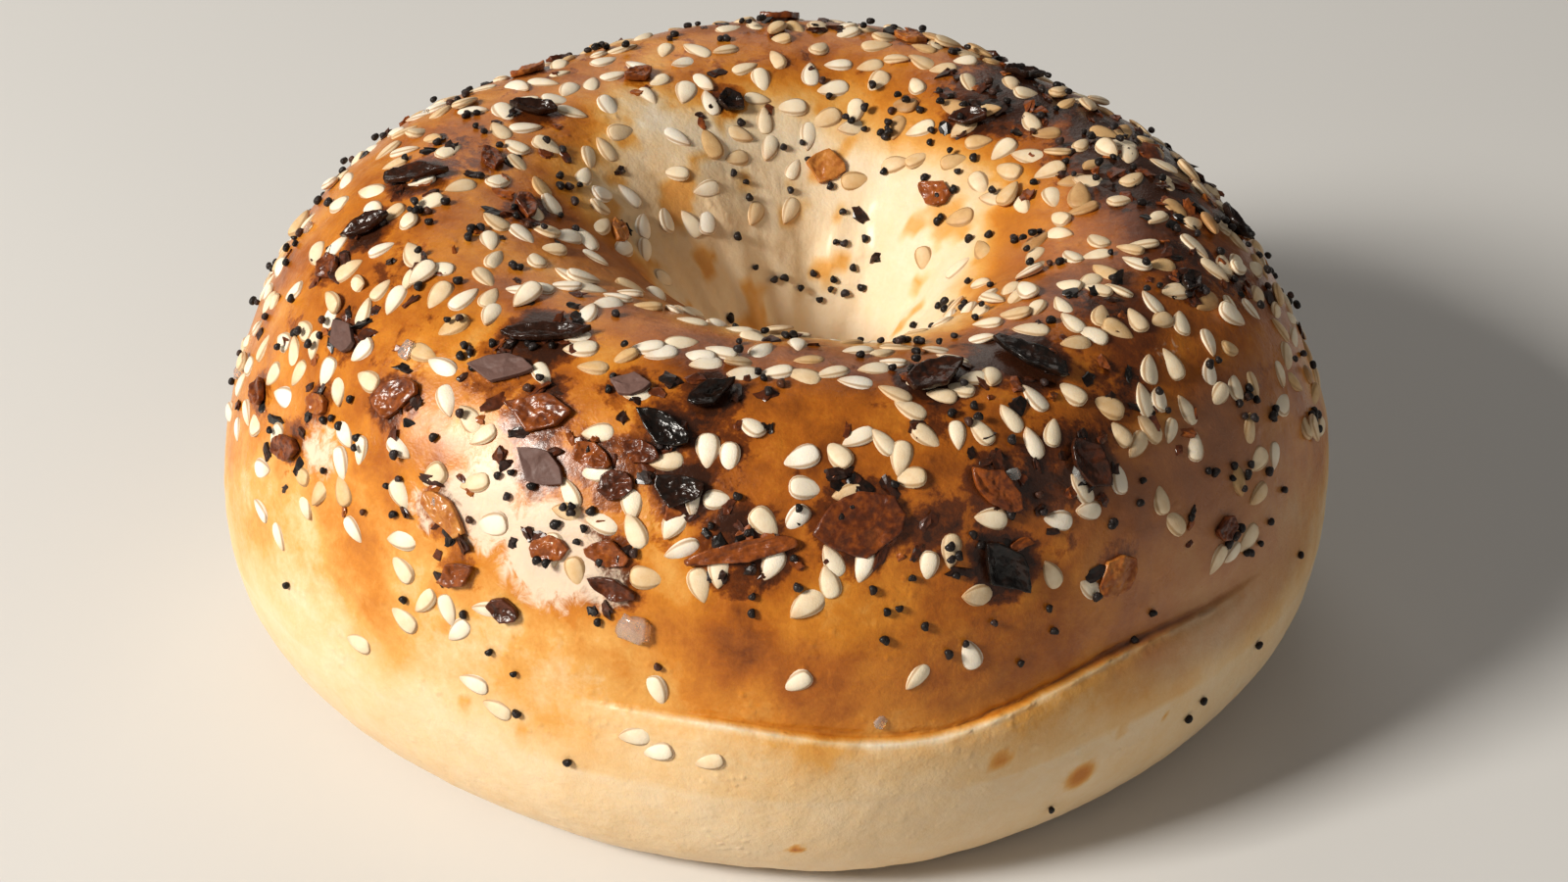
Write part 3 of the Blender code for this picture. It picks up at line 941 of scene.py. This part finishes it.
def make_flake(name, crust_tree, finish, tint, crumple, seed):
    """A CAD flake with a finer, crumpled skin, pressed down onto the crust."""
    skin = bmesh.new()
    skin.from_mesh(frame["nodes"][name].data)
    bmesh.ops.remove_doubles(skin, verts=skin.verts, dist=1e-7)
    bmesh.ops.subdivide_edges(skin, edges=skin.edges, cuts=1, use_grid_fill=True)
    bmesh.ops.triangulate(skin, faces=skin.faces)
    every_way = {"use_axis_x": True, "use_axis_y": True, "use_axis_z": True}
    bmesh.ops.smooth_vert(skin, verts=skin.verts, factor=0.2, **every_way)
    bmesh.ops.subdivide_edges(skin, edges=skin.edges, cuts=3, use_grid_fill=True)
    middle = sum((vertex.co for vertex in skin.verts), Vector()) / len(skin.verts)
    _, normal, _, _ = crust_tree.find_nearest(middle / MM)
    skin.normal_update()
    for vertex in skin.verts:
        spot = vertex.co / MM + Vector((seed, 0, 0))
        fold = 0.5 - abs(noise.noise(spot * 0.55))
        swing = 0.30 * fold + 0.07 * noise.noise(spot * 2.2) + 0.03 * noise.noise(spot * 5.0)
        swing *= crumple
        lift = normal * (swing * FLAKE_SWING - FLAKE_PRESS)
        vertex.co += (vertex.normal * swing * FLAKE_SWING + lift) * MM
    mesh = bpy.data.meshes.new(name + "_skin")
    skin.to_mesh(mesh)
    skin.free()
    set_values(mesh, "tint", np.full(len(mesh.vertices), tint))
    mesh.shade_smooth()
    return show(name + "_skin", mesh, finish)


def patches(points, crust, places):
    """The strongest of some round patches at each point, each fading out at its reach."""
    total = np.zeros(points.shape[:-1])
    for azimuth, section, reach, strength in places:
        away = np.linalg.norm(points - crust.place(azimuth, section)[0], axis=-1)
        total = np.maximum(total, strength * smooth(1.25 * (1 - away / reach)))
    return total


def baking_tone(crust):
    """How dark each point is baked, from 0 for cream dough to 1 for burnt, and how much it is glazed top."""
    points, azimuth, section = crust.points, crust.azimuth, crust.section
    drift = 9 * mottle(points, 13, 41, 2)
    inner = 108 - 6 * hill(azimuth, 135, 45) + 30 * hill(azimuth, 212, 42) + 18 * hill(azimuth, 350, 45)
    inside = rising(section + 0.9 * drift, inner - 8, inner + 14)
    top = rising(section + drift, -9, 40) * (1 - inside)
    tone = 0.15 + 0.39 * top - 0.05 * inside * (section < 220)
    tone += 0.08 * inside * hill(azimuth, 165, 55) * hill(section, 128, 24)
    for change, middle, reach, height, depth in TOP_TONES:
        tone += top * change * hill(azimuth, middle, reach) * hill(section, height, depth)
    for change, middle, reach, height, depth in BAND_TONES:
        tone += change * hill(azimuth, middle, reach) * hill(section, height, depth)
    tone += top * 0.20 * mottle(points, 8, 42, 3)
    tone += inside * (section < 220) * 0.20 * rising(mottle(points, 4, 45, 2), 0.15, 0.45)
    above = section - seam_section(azimuth)
    strength = seam_strength(azimuth)
    # Darker just above the seam, fading upward: partly browner top crust, partly painted shade behind the
    # band's lip.
    tone += strength * 0.12 * rising(above, -0.3, 0.3) * rising(-above, -16, -1)
    # A darker line along the seam's groove: partly a browner crack, partly painted shade in the recess.
    crack_and_shade = 0.10 + 0.36 * hill(azimuth, 316, 24) * rising(mottle(points, 2.4, 47, 2), -0.55, 0.05)
    wander = 0.5 + 0.35 * mottle(points, 1.6, 48)
    tone += strength * crack_and_shade * np.exp(-(((above - wander) / 0.40) ** 2))
    # Painted highlight: a paler line along the band's lip, where its edge catches the lamp.
    tone -= strength * 0.16 * np.exp(-(((above + 0.5) / 0.6) ** 2))
    base = between(section, 225, 246, 294, 312)
    tone += base * (0.36 + 0.10 * mottle(points, 7, 43, 3))
    return np.maximum(tone, patches(points, crust, SPOTS)), top


def crust_values(crust, flakes):
    """Tone, scorch, pale patches with painted highlight, painted shade and glaze at each crust point."""
    points, azimuth, section = crust.points, crust.azimuth, crust.section
    tone, top = baking_tone(crust)
    scorch = 0.30 * top * rising(mottle(points, 6.5, 44, 2), 0.0, 0.5)
    scorch = np.maximum(scorch, patches(points, crust, STAINS))
    for name, (middle, reach) in flakes.items():
        away = np.linalg.norm(points - middle, axis=-1) - reach * 0.6
        strong = 0.80 if name.startswith("charred") else 0.55
        scorch = np.maximum(scorch, strong * (1 - rising(away, 0.0, 3.4)))
    scorch *= rising(section, 20, 34) * (1 - rising(section, 104, 124))
    # Painted shade on the near side's right, away from the lamp, and on the hole's shaded left wall.
    painted_shade = hill(azimuth, 325, 42) * rising(section, -4, 10) * (1 - rising(section, 42, 62))
    painted_shade = np.maximum(painted_shade, 0.55 * hill(azimuth, 160, 60) * hill(section, 130, 36))
    glaze = rising(section, -2, 22) * (1 - rising(section, 104, 126))
    return {
        "tone": tone,
        "scorch": scorch,
        "pale": patches(points, crust, PALE_AND_HIGHLIGHT_PATCHES),
        "painted_shade": painted_shade,
        "glaze": glaze,
    }


def make_camera_and_light():
    """The view from above the near side, with one broad light from the left and soft light all round."""
    elevation = math.radians(ELEVATION)
    aim = Vector(AIM) * MM
    away = Vector((0, -math.cos(elevation), math.sin(elevation)))
    camera = bpy.data.objects.new("camera", bpy.data.cameras.new("camera"))
    camera.data.sensor_width = SENSOR
    camera.data.lens = LENS
    camera.data.clip_start = 0.01
    camera.data.clip_end = 20
    camera.location = aim + away * DISTANCE * MM
    camera.rotation_euler = (math.pi / 2 - elevation, 0, 0)
    bpy.context.scene.collection.objects.link(camera)
    bpy.context.scene.camera = camera
    for name, place, size, power in LAMPS:
        lamp = bpy.data.objects.new(name, bpy.data.lights.new(name, "AREA"))
        lamp.data.color = LAMP_COLOUR
        lamp.data.size = size
        lamp.data.energy = power
        lamp.location = place
        lamp.rotation_euler = (aim - lamp.location).to_track_quat("-Z", "Y").to_euler()
        bpy.context.scene.collection.objects.link(lamp)
    world = bpy.data.worlds.new("studio")
    world.use_nodes = True
    world.node_tree.nodes["Background"].inputs["Color"].default_value = SKY_COLOUR
    world.node_tree.nodes["Background"].inputs["Strength"].default_value = SKY_STRENGTH
    bpy.context.scene.world = world
    bpy.context.scene.view_settings.view_transform = "Standard"


def make_floor():
    mesh = bpy.data.meshes.new("floor")
    corners = [(x * FLOOR_REACH, y * FLOOR_REACH, 0) for x, y in ((-1, -1), (1, -1), (1, 1), (-1, 1))]
    mesh.from_pydata(corners, [], [(0, 1, 2, 3)])
    floor = show("floor", mesh, floor_material())


def main():
    make_camera_and_light()
    make_floor()
    crust = Crust(frame["nodes"]["bread"])
    flakes = flake_places()
    skin = grid_mesh("bread_crust", crust.points, crust_values(crust, flakes))
    bread = show("bread_crust", skin, crust_material())
    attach(bread, "root")
    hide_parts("bread")
    seeds, taken = make_sesame(crust, flakes)
    allium = allium_material("dried_allium")
    loose = (
        ("sesame_seeds", seeds, sesame_material(), "crust"),
        ("poppy_seeds", make_poppy(crust, taken), poppy_material(), "crust"),
        ("allium_crumbs", make_crumbs(crust, flakes), allium, "onion"),
        ("salt_crystals", make_salt(crust), salt_material(), "crust"),
    )
    for name, mesh, finish, slot in loose:
        piece = show(name, mesh, finish)
        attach(piece, "root")
    finishes = {
        "onion": (allium_material("toasted_onion", ALLIUM, 0.30, 0.34), "onion", 0.60),
        "charred": (allium_material("charred_onion_skin", ALLIUM, 0.22, 0.24), "charred_onion", 0.88),
        "garlic": (allium_material("toasted_garlic", ALLIUM, 0.22, 0.40), "garlic", 0.36),
    }
    matt = allium_material("matt_onion", MAUVE, 0.12, 0.52, 0.0)
    draw = random.Random(DRAWS["flakes"])
    polygons = [face.vertices for face in bread.data.polygons]
    crust_tree = BVHTree.FromPolygons([vertex.co / MM for vertex in bread.data.vertices], polygons)
    for number, name in enumerate(sorted(flakes)):
        finish, slot, tint = finishes[name.split("_")[0]]
        tint += draw.uniform(-0.12, 0.12)
        crumple = 1.0
        if name in MATT_FLAKES:
            finish, crumple = matt, 0.4
        piece = make_flake(name, crust_tree, finish, tint, crumple, number)
        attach(piece, "root")
        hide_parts(name)


main()
